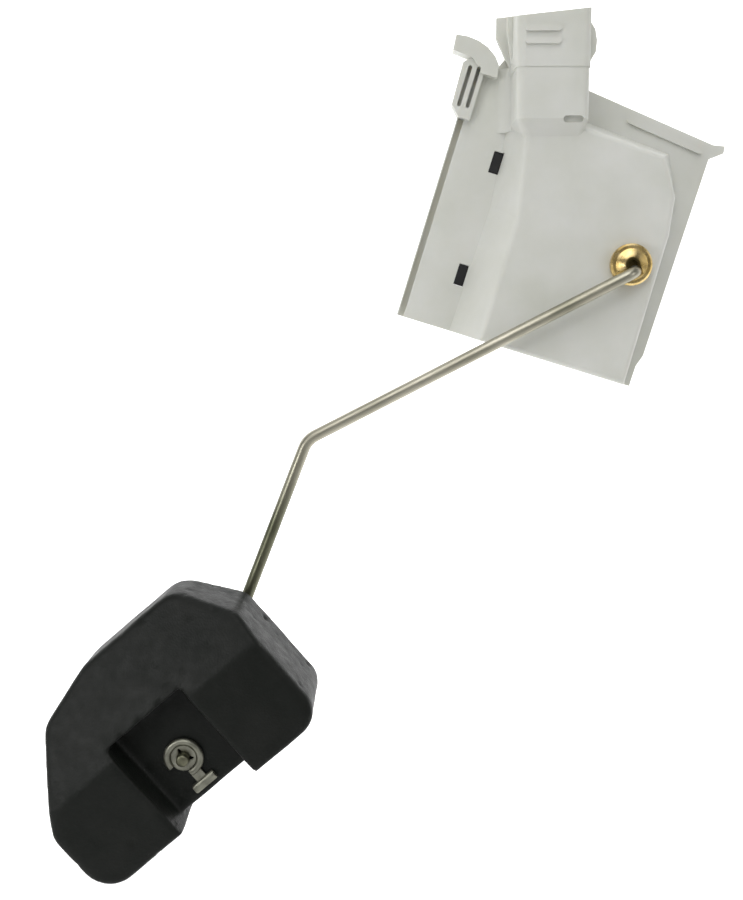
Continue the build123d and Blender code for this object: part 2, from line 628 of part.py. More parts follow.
# ---------------------------------------------------------------- terminals
# Each is a blade in the socket, bent back at the bottom to a foot riveted on the card.
for column, terminal_name in ((-1, "signal_terminal"), (1, "ground_terminal")):
    middle = SOCKET_MIDDLE + column * BLADE_SPACING / 2
    with BuildPart() as terminal:
        with BuildSketch(Plane.YZ.offset(middle - BLADE_WIDTH / 2)):
            with BuildLine():
                Polyline(
                    (-BLADE_FRONT, TERMINAL_BEND), (-BLADE_FRONT, BLADE_TOP),
                    (-BLADE_FRONT + BLADE_SHEET, BLADE_TOP),
                    (-BLADE_FRONT + BLADE_SHEET, TERMINAL_BEND + BLADE_SHEET),
                    (-CARD_FRONT, TERMINAL_BEND + BLADE_SHEET), (-CARD_FRONT, TERMINAL_FOOT),
                    (-CARD_FRONT - 0.5, TERMINAL_FOOT), (-CARD_FRONT - 0.5, TERMINAL_BEND), close=True,
                )
            make_face()
        extrude(amount=BLADE_WIDTH)
        tip = terminal.faces().sort_by(Axis.Z)[-1]
        chamfer(tip.edges().filter_by(Axis.X), length=0.25)
        with BuildSketch(upright_plane(0)):
            with Locations((middle, TERMINAL_FOOT + 1.4)):
                Circle(0.5)
        extrude(amount=CARD_FRONT + 1.0, mode=Mode.SUBTRACT)
    finish(terminal.part, terminal_name)

with BuildPart() as terminal_rivets:
    with BuildSketch(upright_plane(CARD_BACK + 0.02)):
        with Locations(terminal_foot(-1, TERMINAL_FOOT + 1.4), terminal_foot(1, TERMINAL_FOOT + 1.4)):
            Circle(0.48)
    extrude(amount=CARD_THICK + 0.48)
    with BuildSketch(upright_plane(CARD_FRONT + 0.5)):
        with Locations(terminal_foot(-1, TERMINAL_FOOT + 1.4), terminal_foot(1, TERMINAL_FOOT + 1.4)):
            Circle(0.85)
    extrude(amount=0.4)
finish(terminal_rivets.part, "terminal_rivets")

# ---------------------------------------------------------------- float
FLOAT_OUTLINE = [
    (-27.8, -10.2), (-27.8, 5.2), (-16.8, 22.2), (-3.0, FLOAT_ACROSS),
    (20.0, FLOAT_ACROSS), (28.0, 15.2), (28.0, -10.2),
]
FLOAT_CORNERS = (6.5, 5.0, 5.0, 8.0, 6.0, 4.0, 5.5)
POCKET_MIDDLE = (POCKET_LEFT + POCKET_RIGHT) / 2
POCKET_WIDTH = POCKET_RIGHT - POCKET_LEFT


def float_section(along):
    """Plane across the float at a distance along it; its axes are the float's second axis and depth."""
    flat = turned_plane(0, FLOAT_TURN, FLOAT_AXIS)
    return Plane(origin=flat.from_local_coords((along, 0, 0)), x_dir=flat.y_dir, z_dir=flat.x_dir)


with BuildPart() as float_block:
    with BuildSketch(turned_plane(FLOAT_BACK, FLOAT_TURN, FLOAT_AXIS)):
        with BuildLine():
            FilletPolyline(*FLOAT_OUTLINE, radius=list(FLOAT_CORNERS), close=True)
        make_face()
    extrude(amount=FLOAT_DEPTH)
    # Sloping facet on the upper part of the front face.
    with BuildSketch(float_section(-40.0)):
        with BuildLine():
            Polyline(
                (FLOAT_FACET_FROM, FLOAT_FRONT), (FLOAT_ACROSS, FLOAT_FRONT - FLOAT_FACET_DROP),
                (FLOAT_ACROSS + 5.0, FLOAT_FRONT - FLOAT_FACET_DROP - 2.3),
                (FLOAT_ACROSS + 5.0, FLOAT_FRONT + 2.0),
                (FLOAT_FACET_FROM, FLOAT_FRONT + 2.0), close=True,
            )
        make_face()
    extrude(amount=80.0, mode=Mode.SUBTRACT)
    float_rim = float_block.faces().filter_by(lambda face: face.normal_at().Y < -0.8).edges()
    fillet(float_rim, radius=1.3)
    # Pocket for the clip, open along the lower edge.
    with BuildSketch(turned_plane(POCKET_FLOOR, FLOAT_TURN, FLOAT_AXIS)):
        with Locations((POCKET_MIDDLE, (POCKET_TOP - 20.0) / 2)):
            Rectangle(POCKET_WIDTH, POCKET_TOP + 20.0)
    extrude(amount=20.0, mode=Mode.SUBTRACT)
    with BuildSketch(float_section(POCKET_LEFT)):
        with BuildLine():
            Polyline(
                (NOTCH_EDGE, POCKET_FLOOR), (NOTCH_EDGE, FLOAT_FRONT), (-20.0, FLOAT_FRONT),
                (-20.0, FLOAT_BACK), (NOTCH_FOOT, FLOAT_BACK), close=True,
            )
        make_face()
    extrude(amount=POCKET_WIDTH, mode=Mode.SUBTRACT)
    # Bore for the wire.
    with BuildSketch(upright_plane(FLOAT_BACK - 1.0, FLOAT_AXIS)):
        Circle(FLOAT_BORE_R)
    extrude(amount=30.0, mode=Mode.SUBTRACT)
finish(float_block.part, "float")

# ---------------------------------------------------------------- float retention on the wire
with BuildPart() as float_washer:
    with BuildSketch(upright_plane(FLOAT_BACK - 0.8, FLOAT_AXIS)):
        Circle(3.6)
        Circle(WIRE_R + 0.02, mode=Mode.SUBTRACT)
    extrude(amount=0.5)
finish(float_washer.part, "float_washer")

CLIP_BACK = POCKET_FLOOR + 0.3
CLIP_OUTER_R = 4.0
with BuildPart() as float_clip:
    # Domed ring with a bridge that grips the wire.
    with BuildSketch(upright_plane(CLIP_BACK, FLOAT_AXIS)):
        Circle(CLIP_OUTER_R)
        Circle(2.3, mode=Mode.SUBTRACT)
    extrude(amount=1.1)
    with BuildSketch(turned_plane(CLIP_BACK, FLOAT_TURN, FLOAT_AXIS)):
        Circle(2.4)
        Circle(WIRE_R + 0.01, mode=Mode.SUBTRACT)
    extrude(amount=0.5)
    # Tab bent up beside the ring.
    with BuildSketch(turned_plane(CLIP_BACK, FLOAT_TURN, FLOAT_AXIS)):
        with Locations((0, -4.6)):
            Rectangle(2.6, 2.4)
        Circle(CLIP_OUTER_R - 0.6, mode=Mode.SUBTRACT)
    extrude(amount=0.5)
    with BuildSketch(turned_plane(CLIP_BACK, FLOAT_TURN, FLOAT_AXIS)):
        with Locations((0.2, -6.3)):
            Rectangle(5.2, 1.9)
    extrude(amount=1.0)
finish(float_clip.part, "float_clip")
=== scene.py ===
# %% [markdown]
# # A fuel-level sender
#
# The object is the level sender of a fuel tank: a moulded white housing with a brass pivot, a bent wire
# arm and a dark foam float. The imported CAD model gives every place and size, in metres, with Z up and the
# front facing -Y. This lesson dresses it: first the camera and the light, then the finishes, then the
# pieces whose surfaces are worth working out one by one.

# %% Load the imported model
import json
import math

import bmesh
import bpy
import numpy as np
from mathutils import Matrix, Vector


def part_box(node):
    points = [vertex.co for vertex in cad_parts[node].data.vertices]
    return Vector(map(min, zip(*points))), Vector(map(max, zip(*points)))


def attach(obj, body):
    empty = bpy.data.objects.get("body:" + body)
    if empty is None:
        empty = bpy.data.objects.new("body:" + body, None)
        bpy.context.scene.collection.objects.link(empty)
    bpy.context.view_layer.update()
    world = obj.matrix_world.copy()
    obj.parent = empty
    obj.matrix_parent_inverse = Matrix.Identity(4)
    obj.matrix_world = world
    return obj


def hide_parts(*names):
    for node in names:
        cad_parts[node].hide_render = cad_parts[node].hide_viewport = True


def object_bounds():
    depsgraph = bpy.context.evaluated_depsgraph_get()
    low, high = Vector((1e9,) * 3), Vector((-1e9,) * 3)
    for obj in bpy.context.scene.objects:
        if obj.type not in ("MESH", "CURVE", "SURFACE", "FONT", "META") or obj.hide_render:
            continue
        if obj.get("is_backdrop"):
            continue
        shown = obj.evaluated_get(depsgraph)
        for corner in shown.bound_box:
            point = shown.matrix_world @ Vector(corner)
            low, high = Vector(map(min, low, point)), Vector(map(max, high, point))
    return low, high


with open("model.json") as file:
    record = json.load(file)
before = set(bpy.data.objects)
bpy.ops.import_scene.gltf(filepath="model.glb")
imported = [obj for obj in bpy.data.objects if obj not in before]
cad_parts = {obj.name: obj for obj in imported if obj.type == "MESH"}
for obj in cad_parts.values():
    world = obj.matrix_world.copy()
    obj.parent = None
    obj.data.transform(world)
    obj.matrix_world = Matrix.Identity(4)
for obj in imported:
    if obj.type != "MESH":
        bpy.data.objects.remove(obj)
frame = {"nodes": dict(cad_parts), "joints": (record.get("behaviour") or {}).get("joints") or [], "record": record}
cad_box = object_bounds()
MM = 0.001
JOINTS = {joint["name"]: joint for joint in frame["joints"]}
PIVOT = Vector(JOINTS["arm_swing"]["pos_m"])
FLOAT_PIN = Vector(JOINTS["float_swivel"]["pos_m"])
low, high = (Vector(corner) for corner in cad_box)
print("nodes:", len(frame["nodes"]), "overall size in mm:", [round(side / MM, 1) for side in high - low])

# %% [markdown]
# ## The camera
#
# The object is small, so it is seen from close by: about a quarter of a metre away. At that distance the
# float, which is nearer, looks clearly bigger than it would on a drawing. The camera stands to the left of
# the pivot, level with the box's lower half, and looks slightly down. A 48 mm lens on a 36 mm sensor is
# close to what the eye expects for such a part, and no shift is needed.

# %% Camera
CAMERA_LEFT = 50.2 * MM          # how far to the left of the pivot it stands
CAMERA_BELOW = 7.2 * MM
CAMERA_AWAY = 260.5 * MM
LOOK_DOWN = 7.1                  # degrees
LOOK_LEFT = 0.5

camera_data = bpy.data.cameras.new("camera")
camera_data.lens = 48.0
camera_data.sensor_width = 36.0
camera_data.clip_start = 0.01
camera = bpy.data.objects.new("camera", camera_data)
camera.location = PIVOT + Vector((-CAMERA_LEFT, -CAMERA_AWAY, -CAMERA_BELOW))
camera.rotation_euler = (math.radians(90.0 - LOOK_DOWN), 0.0, math.radians(LOOK_LEFT))
bpy.context.scene.collection.objects.link(camera)
bpy.context.scene.camera = camera
print("camera stands", round(CAMERA_AWAY / MM), "mm in front of the mounting face")

# %% [markdown]
# ## The stage and the light
#
# A product like this is usually shown on white. The stage is one sheet that is the floor and then curves
# up behind, so that no horizon shows. It is a profile of three stretches, swept sideways: the grid's first
# parameter runs along the profile and the second across it. The paper glows a little behind the object
# and hardly at all in front of it, where it is also greyer, because light thrown up from in front would
# flatten the shading.


# %% Seamless stage
def surface(name, points, close_u=False, close_v=False, cap_ends=False):
    """Mesh of a grid of points with shape (n, m, 3); the four corners of each cell are one face.

    close_u and close_v join the last row or column to the first, and cap_ends closes the first and the
    last row with one polygon each, which is right for a tube."""
    n, m = points.shape[:2]
    rows, columns = np.arange(n if close_u else n - 1), np.arange(m if close_v else m - 1)
    i, j = (index.ravel() for index in np.meshgrid(rows, columns, indexing="ij"))
    next_i, next_j = (i + 1) % n, (j + 1) % m
    faces = np.stack([i * m + j, next_i * m + j, next_i * m + next_j, i * m + next_j], axis=1).tolist()
    if cap_ends:
        faces += [list(range(m)), list(range((n - 1) * m, n * m))[::-1]]
    mesh = bpy.data.meshes.new(name)
    mesh.from_pydata(points.reshape(-1, 3).tolist(), [], faces)
    mesh.update()
    piece = bpy.data.objects.new(name, mesh)
    bpy.context.scene.collection.objects.link(piece)
    return piece


def outward(piece):
    """Turn every face of a closed piece to point outwards, and shade it smooth."""
    work = bmesh.new()
    work.from_mesh(piece.data)
    bmesh.ops.recalc_face_normals(work, faces=work.faces)
    work.to_mesh(piece.data)
    work.free()
    piece.data.polygons.foreach_set("use_smooth", np.ones(len(piece.data.polygons), bool))
    piece.data.update()
    return piece


FLOOR_REACH = 12.0               # metres, so that a view from any side still sees the sheet
FLOOR_Z = low.z - 20 * MM
SHEET_BEND = 0.3
WALL_HEIGHT = 2.0
GLOW_RISES = (-0.05, 0.06)       # the Y between which the paper's glow rises
GLOW = (0.10, 0.75)
GREY_FADES = (-0.22, -0.02)      # the Y between which its grey fades to white


def stage_points(count=48, columns=9):
    """Profile in Y and Z: flat floor, quarter circle, then a wall; swept along X.

    On the quarter circle, y is start + radius sin(t) and z is floor + radius (1 - cos(t))."""
    turn = np.linspace(0.0, math.pi / 2, count)
    start_y = high.y + 0.25
    y = np.concatenate([[-FLOOR_REACH], start_y + SHEET_BEND * np.sin(turn), [start_y + SHEET_BEND]])
    z = np.concatenate([[FLOOR_Z], FLOOR_Z + SHEET_BEND * (1 - np.cos(turn)), [FLOOR_Z + WALL_HEIGHT]])
    x = np.broadcast_to(np.linspace(-FLOOR_REACH, FLOOR_REACH, columns), (len(y), columns))
    return np.stack([x, np.repeat(y[:, None], columns, 1), np.repeat(z[:, None], columns, 1)], axis=2)


def spread(tree, value, ends, new_ends=(0.0, 1.0)):
    """Result socket of a node that takes a value from one pair of ends to another."""
    node = tree.nodes.new("ShaderNodeMapRange")
    for socket, number in zip(("From Min", "From Max", "To Min", "To Max"), (*ends, *new_ends)):
        node.inputs[socket].default_value = number
    tree.links.new(value, node.inputs["Value"])
    return node.outputs["Result"]


backdrop = surface("backdrop", stage_points()[:, ::-1])
backdrop.data.polygons.foreach_set("use_smooth", np.ones(len(backdrop.data.polygons), bool))
backdrop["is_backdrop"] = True
paper = bpy.data.materials.new("white_paper")
paper.use_nodes = True
paper_shader = paper.node_tree.nodes["Principled BSDF"]
paper_shader.inputs["Roughness"].default_value = 0.9
paper_shader.inputs["Emission Color"].default_value = (1.0, 1.0, 1.0, 1.0)
place = paper.node_tree.nodes.new("ShaderNodeTexCoord")
depth = paper.node_tree.nodes.new("ShaderNodeSeparateXYZ")
grey = paper.node_tree.nodes.new("ShaderNodeValToRGB")
grey.color_ramp.elements[0].color = (0.35, 0.35, 0.35, 1.0)
grey.color_ramp.elements[1].color = (0.9, 0.9, 0.9, 1.0)
paper.node_tree.links.new(place.outputs["Object"], depth.inputs[0])
glow = spread(paper.node_tree, depth.outputs["Y"], GLOW_RISES, GLOW)
paper.node_tree.links.new(glow, paper_shader.inputs["Emission Strength"])
paper.node_tree.links.new(spread(paper.node_tree, depth.outputs["Y"], GREY_FADES), grey.inputs["Fac"])
paper.node_tree.links.new(grey.outputs["Color"], paper_shader.inputs["Base Color"])
backdrop.data.materials.append(paper)
print("stage is", round((PIVOT.z - FLOOR_Z) / MM), "mm below the pivot")

# %% [markdown]
# ### Lights
#
# Soft light is made by large lamps. The main one hangs high in front, a little to the left, so that walls
# that face down fall into shade. A small one at the left puts a sheen on the float's slope: it stands where
# the slope, seen as a mirror, would show it. A weak one at the right gives the brass something to reflect,
# and one above is turned to the backdrop. The world gives an even white fill. The Standard view keeps a
# white sheet white, where a filmic view would turn it grey.


# %% Lights
KEY_POWER = 4.4                  # watts
SHEEN_POWER = 0.26
FILL_POWER = 1.2
BACKDROP_POWER = 2.0
WORLD_STRENGTH = 0.19


def area_light(name, place, aim, size, power):
    """Square lamp of a side length in metres that looks from a place at a point."""
    lamp_data = bpy.data.lights.new(name, "AREA")
    lamp_data.size = size
    lamp_data.energy = power
    lamp = bpy.data.objects.new(name, lamp_data)
    lamp.location = place
    lamp.rotation_euler = (Vector(aim) - Vector(place)).to_track_quat("-Z", "Y").to_euler()
    bpy.context.scene.collection.objects.link(lamp)


MIDDLE = (low + high) / 2
FLOAT_MIDDLE = sum((Vector(corner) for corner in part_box("float")), Vector()) / 2
area_light("key", MIDDLE + Vector((-0.14, -0.70, 0.72)), MIDDLE, 0.8, KEY_POWER)
area_light("slope_sheen", FLOAT_MIDDLE + Vector((-0.22, -0.20, 0.075)), FLOAT_MIDDLE, 0.12, SHEEN_POWER)
area_light("fill", MIDDLE + Vector((0.74, -0.60, 0.24)), MIDDLE, 0.5, FILL_POWER)
behind = MIDDLE + Vector((0, 0.6, -0.1))
area_light("backdrop_wash", MIDDLE + Vector((0.0, -0.1, 0.9)), behind, 0.8, BACKDROP_POWER)
world = bpy.data.worlds.new("studio")
world.use_nodes = True
world.node_tree.nodes["Background"].inputs["Color"].default_value = (1, 1, 1, 1)
world.node_tree.nodes["Background"].inputs["Strength"].default_value = WORLD_STRENGTH
bpy.context.scene.world = world
bpy.context.scene.view_settings.view_transform = "Standard"


# %% [markdown]
# ## Finishes
#
# Each finish is a function of a few facts: its colour, how rough it is, and two procedural patterns in
# object space, one that varies the colour and one that raises a fine relief.


# %% Helpers for finishes
NOISE_ENDS = (0.3, 0.7)          # a noise seldom leaves these values


def nodes_of(material):
    """Node tree, the main shader, and the node that gives object coordinates."""
    tree = material.node_tree
    found = [node for node in tree.nodes if node.type == "TEX_COORD"]
    coordinates = found[0] if found else tree.nodes.new("ShaderNodeTexCoord")
    return tree, tree.nodes["Principled BSDF"], coordinates.outputs["Object"]


def finish_material(name, colour, roughness, **sockets):
    """New material; each extra name, with spaces as underscores, is set on the shader's own socket."""
    material = bpy.data.materials.new(name)
    material.use_nodes = True
    shader = material.node_tree.nodes["Principled BSDF"]
    shader.inputs["Base Color"].default_value = (*colour, 1.0)
    shader.inputs["Roughness"].default_value = roughness
    for socket, value in sockets.items():
        shader.inputs[socket.replace("_", " ")].default_value = value
    return material


def noise(material, size, detail=3.0, stretch=(1.0, 1.0, 1.0), source=None):
    """Factor socket of a noise whose lumps are about one size across, longer along a stretched axis.

    It reads object coordinates, or the source if one is given."""
    tree, _, coordinates = nodes_of(material)
    mapping = tree.nodes.new("ShaderNodeMapping")
    mapping.inputs["Scale"].default_value = [1.0 / (size * factor) for factor in stretch]
    texture = tree.nodes.new("ShaderNodeTexNoise")
    texture.inputs["Scale"].default_value = 1.0
    texture.inputs["Detail"].default_value = detail
    tree.links.new(source or coordinates, mapping.inputs["Vector"])
    tree.links.new(mapping.outputs["Vector"], texture.inputs["Vector"])
    return texture.outputs["Fac"]


def ramp(material, factor, stops):
    """Colour socket of a ramp through (place, colour) stops, read at a factor."""
    tree = material.node_tree
    node = tree.nodes.new("ShaderNodeValToRGB")
    elements = node.color_ramp.elements
    while len(elements) < len(stops):
        elements.new(0.5)
    for element, (place, colour) in zip(elements, stops):
        element.position = place
        element.color = (*colour, 1.0)
    tree.links.new(factor, node.inputs["Fac"])
    return node.outputs["Color"]


def vary_colour(material, factor, stops):
    """Let a factor choose the base colour."""
    tree, shader, _ = nodes_of(material)
    tree.links.new(ramp(material, factor, stops), shader.inputs["Base Color"])


def vary_roughness(material, factor, smooth, rough):
    """Let a factor choose the roughness between two values."""
    tree, shader, _ = nodes_of(material)
    tree.links.new(spread(tree, factor, NOISE_ENDS, (smooth, rough)), shader.inputs["Roughness"])


def raise_relief(material, factor, height):
    """Add relief of a height in metres; a second call adds to the first."""
    tree, shader, _ = nodes_of(material)
    bump = tree.nodes.new("ShaderNodeBump")
    bump.inputs["Distance"].default_value = height
    before = shader.inputs["Normal"].links
    if before:
        tree.links.new(before[0].from_socket, bump.inputs["Normal"])
    tree.links.new(factor, bump.inputs["Height"])
    tree.links.new(bump.outputs["Normal"], shader.inputs["Normal"])


# %% [markdown]
# ### Moulded plastics
#
# The housing is natural acetal: milky, slightly green, with light that goes a millimetre into it. Its
# faces have the fine grain of a spark-eroded mould and faint flow marks. The rear cover and the wiper's
# carrier are the same plastic with carbon black. Both start from one function, because they differ only
# in colour and in how far the light goes in.


# %% Plastic finishes
def moulded_plastic(name, dark, light, glow):
    """Plastic between two colours, with mould grain 0.25 mm across and flow marks along the part."""
    middle = tuple((low_part + high_part) / 2 for low_part, high_part in zip(dark, light))
    plastic = finish_material(name, middle, 0.42, Subsurface_Weight=glow, Subsurface_Scale=1.2 * MM, IOR=1.48)
    plastic.node_tree.nodes["Principled BSDF"].inputs["Subsurface Radius"].default_value = (1.0, 0.9, 0.7)
    vary_colour(plastic, noise(plastic, 11 * MM, 4.0), [(0.28, dark), (0.72, light)])
    vary_roughness(plastic, noise(plastic, 5 * MM), 0.36, 0.56)
    raise_relief(plastic, noise(plastic, 0.25 * MM, 2.0), 0.012 * MM)
    raise_relief(plastic, noise(plastic, 6 * MM, 2.0, stretch=(1.0, 1.0, 3.0)), 0.06 * MM)
    return plastic


acetal = moulded_plastic("natural_acetal", (0.62, 0.628, 0.57), (0.70, 0.704, 0.665), 0.2)
black_acetal = moulded_plastic("black_acetal", (0.006, 0.006, 0.007), (0.014, 0.014, 0.015), 0.0)
nylon = moulded_plastic("natural_nylon", (0.68, 0.65, 0.54), (0.78, 0.76, 0.66), 0.3)
print("plastics:", acetal.name, black_acetal.name, nylon.name)

# %% [markdown]
# ### Turned brass
#
# The hub and its bush come off a lathe, so the tool leaves fine rings round the axis, and grease and fuel
# leave a brown bloom in patches. Round the axis the brass is painted nearly black: painted shade for the
# hub's centre hole. The rings could be modelled, but they are a hundredth of a millimetre deep: relief that
# depends only on the distance from the axis gives the same ring-shaped glints.


# %% Brass finish
TOOL_RINGS = 0.16 * MM           # from one ring of the lathe tool to the next


def from_axis(material, unit):
    """Value socket that is the distance from the pivot axis, in units.

    The length of (x, 0, z) is the distance from the axis."""
    tree, _, coordinates = nodes_of(material)
    flatten = tree.nodes.new("ShaderNodeMapping")
    flatten.inputs["Scale"].default_value = (1.0 / unit, 0.0, 1.0 / unit)
    length = tree.nodes.new("ShaderNodeVectorMath")
    length.operation = "LENGTH"
    tree.links.new(coordinates, flatten.inputs["Vector"])
    tree.links.new(flatten.outputs["Vector"], length.inputs[0])
    return length.outputs["Value"]


def rings(material, pitch):
    """Factor socket of a one-way noise read at the distance from the axis, in steps of about a pitch."""
    tree = material.node_tree
    texture = tree.nodes.new("ShaderNodeTexNoise")
    texture.noise_dimensions = "1D"
    texture.inputs["Scale"].default_value = 1.0
    tree.links.new(from_axis(material, pitch), texture.inputs["W"])
    return texture.outputs["Fac"]


def blend_colours(material, first, second, value, start, end):
    """Base colour that turns from the first to the second as a value goes from start to end.

    A colour is a socket, or a tuple if it is constant."""
    tree, shader, _ = nodes_of(material)
    mix = tree.nodes.new("ShaderNodeMix")
    mix.data_type = "RGBA"
    colours = [socket for socket in mix.inputs if socket.type == "RGBA"]
    mixed = [socket for socket in mix.outputs if socket.type == "RGBA"][0]
    tree.links.new(spread(tree, value, (start, end)), mix.inputs["Factor"])
    for socket, colour in zip(colours, (first, second)):
        if isinstance(colour, tuple):
            socket.default_value = (*colour, 1.0)
        else:
            tree.links.new(colour, socket)
    tree.links.new(mixed, shader.inputs["Base Color"])


brass = finish_material("turned_brass", (0.66, 0.47, 0.17), 0.26, Metallic=1.0)
bloom_stops = [(0.3, (0.56, 0.39, 0.13)), (0.5, (0.76, 0.56, 0.23)), (0.75, (0.90, 0.72, 0.38))]
bloom = ramp(brass, noise(brass, 2.6 * MM, 5.0), bloom_stops)
# Painted shade: near the axis the base colour turns nearly black, fully within 1.2 mm and gone by 2.1 mm.
blend_colours(brass, (0.09, 0.07, 0.025), bloom, from_axis(brass, MM), 1.2, 2.1)
vary_roughness(brass, noise(brass, 1.2 * MM, 4.0), 0.2, 0.34)
raise_relief(brass, rings(brass, TOOL_RINGS), 0.02 * MM)
print("brass rings every", TOOL_RINGS / MM, "mm or so")

# %% [markdown]
# ### Steels, bronze and plating
#
# Sheet and wire are drawn or rolled, so their scratches run one way. One function stretches a noise along
# that way; the metals differ in colour, in roughness and in the direction. A broader noise gives each of
# them a patchy bloom.


# %% Metal finishes
def drawn_metal(name, dull, bright, roughness, along, scratch=0.08 * MM, bloom=2.5 * MM):
    """Metal between two colours, with scratches that run along one axis (0, 1 or 2)."""
    middle = tuple((dull_part + bright_part) / 2 for dull_part, bright_part in zip(dull, bright))
    metal = finish_material(name, middle, roughness, Metallic=1.0)
    stretch = [1.0, 1.0, 1.0]
    stretch[along] = 25.0
    vary_colour(metal, noise(metal, bloom, 5.0), [(0.3, dull), (0.7, bright)])
    vary_roughness(metal, noise(metal, bloom / 2, 4.0), roughness - 0.07, roughness + 0.1)
    raise_relief(metal, noise(metal, scratch, 3.0, stretch=stretch), 0.006 * MM)
    return metal


clip_steel = drawn_metal("clip_steel", (0.16, 0.16, 0.13), (0.33, 0.33, 0.27), 0.42, 2)
contact_bronze = drawn_metal("phosphor_bronze", (0.45, 0.26, 0.14), (0.70, 0.45, 0.27), 0.3, 0)
contact_silver = drawn_metal("contact_silver", (0.60, 0.59, 0.55), (0.80, 0.79, 0.76), 0.32, 2)
terminal_tin = drawn_metal("tin_plate", (0.50, 0.50, 0.48), (0.74, 0.73, 0.70), 0.34, 2)
print("metals:", clip_steel.name, contact_bronze.name, contact_silver.name, terminal_tin.name)

# %% [markdown]
# ### Ceramic card and its ink
#
# The resistor is printed on a white alumina card: a matte, slightly grainy surface. The ink is glassy and
# nearly black, with the fine unevenness that a printing screen leaves.

# %% Ceramic and ink
ceramic = finish_material("alumina", (0.84, 0.84, 0.81), 0.6)
vary_colour(ceramic, noise(ceramic, 3 * MM, 4.0), [(0.3, (0.78, 0.78, 0.74)), (0.7, (0.86, 0.86, 0.84))])
raise_relief(ceramic, noise(ceramic, 0.12 * MM), 0.006 * MM)
ink = finish_material("resistor_ink", (0.05, 0.045, 0.045), 0.28)
vary_colour(ink, noise(ink, 0.8 * MM), [(0.3, (0.03, 0.027, 0.027)), (0.7, (0.07, 0.062, 0.06))])
raise_relief(ink, noise(ink, 0.1 * MM, 1.0), 0.01 * MM)
print("card finishes made")

# %% [markdown]
# ### Foam float
#
# The float is nitrile foam with closed cells, moulded, so it has a thin skin. The skin is nearly black and
# dull, with a slight sheen and a fine pebble from the cells under it. Voronoi cells are the natural
# pattern for foam: their distance field is low in each cell's middle and high at its wall.


# %% Foam finish
FOAM_CELL = 0.42 * MM


def cells(material, size):
    """Factor socket of a foam pattern: the distance from each cell's middle, cells one size across."""
    tree, _, coordinates = nodes_of(material)
    mapping = tree.nodes.new("ShaderNodeMapping")
    mapping.inputs["Scale"].default_value = (1.0 / size,) * 3
    texture = tree.nodes.new("ShaderNodeTexVoronoi")
    texture.inputs["Scale"].default_value = 1.0
    tree.links.new(coordinates, mapping.inputs["Vector"])
    tree.links.new(mapping.outputs["Vector"], texture.inputs["Vector"])
    return texture.outputs["Distance"]


foam = finish_material("nitrile_foam", (0.007, 0.008, 0.007), 0.48, Specular_IOR_Level=0.17)
vary_colour(foam, noise(foam, 7 * MM, 6.0), [(0.3, (0.0045, 0.006, 0.0045)), (0.7, (0.009, 0.010, 0.0085))])
vary_roughness(foam, noise(foam, 2 * MM, 4.0), 0.40, 0.54)
raise_relief(foam, cells(foam, FOAM_CELL), 0.04 * MM)
raise_relief(foam, noise(foam, 1.6 * MM, 3.0), 0.06 * MM)
print("foam cells about", FOAM_CELL / MM, "mm")

# %% [markdown]
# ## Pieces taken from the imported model
#
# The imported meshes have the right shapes, but they are loose triangles with knife edges. A real moulding
# or pressing has small radii everywhere, and those radii catch the light. Most nodes are copied: corners
# are merged, flat areas are joined to whole faces, and a Bevel rounds what is still sharp. A copy then
# stands for its node, which stays in the motion model.


# %% Which finish goes where
BODY_OF = {node: body for body, nodes in frame["record"]["behaviour"]["bodies"].items() for node in nodes}
SLOT_OF = {row["node"]: row["material_slot"] for row in frame["record"]["subparts"]}
FINISH_OF_SLOT = {
    "acetal_natural": acetal, "acetal_black": black_acetal, "brass": brass, "contact_bronze": contact_bronze,
    "contact_silver": contact_silver, "washer_nylon": nylon, "clip_steel": clip_steel,
    "card_ceramic": ceramic, "resistor_ink": ink, "terminal_tin": terminal_tin, "foam_nitrile": foam,
}
for node, obj in frame["nodes"].items():
    if SLOT_OF[node] in FINISH_OF_SLOT:
        obj.data.materials.clear()
        obj.data.materials.append(FINISH_OF_SLOT[SLOT_OF[node]])
print("finishes given to", len(frame["nodes"]), "packed nodes")

# %% Softened copies
SHARP = math.radians(28.0)


def merged_copy(node, name):
    """Copy of a node whose corners are merged and whose flat areas are whole faces."""
    piece = bpy.data.objects.new(name, frame["nodes"][node].data.copy())
    bpy.context.scene.collection.objects.link(piece)
    work = bmesh.new()
    work.from_mesh(piece.data)
    bmesh.ops.remove_doubles(work, verts=work.verts, dist=1e-6)
    bmesh.ops.dissolve_limit(work, angle_limit=math.radians(0.6), verts=work.verts, edges=work.edges)
    work.to_mesh(piece.data)
    work.free()
    return piece


def dress(piece, node, finish):
    """Give a piece its finish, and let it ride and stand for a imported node."""
    piece.data.materials.clear()
    piece.data.materials.append(finish)
    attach(piece, BODY_OF[node])
    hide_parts(node)


def softened(node, finish, width, name):
    """Dress a copy of a node, with its sharp edges rounded to a width, to stand for the node."""
    piece = merged_copy(node, name)
    piece.data.polygons.foreach_set("use_smooth", np.ones(len(piece.data.polygons), bool))
    piece.data.set_sharp_from_angle(angle=SHARP)
    bevel = piece.modifiers.new("rounding", "BEVEL")
    bevel.width = width
    bevel.segments = 2
    bevel.limit_method = "ANGLE"
    bevel.angle_limit = SHARP
    bevel.use_clamp_overlap = True
    even = piece.modifiers.new("even_shading", "WEIGHTED_NORMAL")
    even.keep_sharp = True
    dress(piece, node, finish)


# %% [markdown]
# ### The housing and the brass
#
# The housing's edges are rounded over about a fifth of a millimetre, as a moulding's are. The hub is
# turned, so its edges are only broken. The terminals, the card and the wiper get small radii too, for
# whoever looks into the socket or takes the cover off.

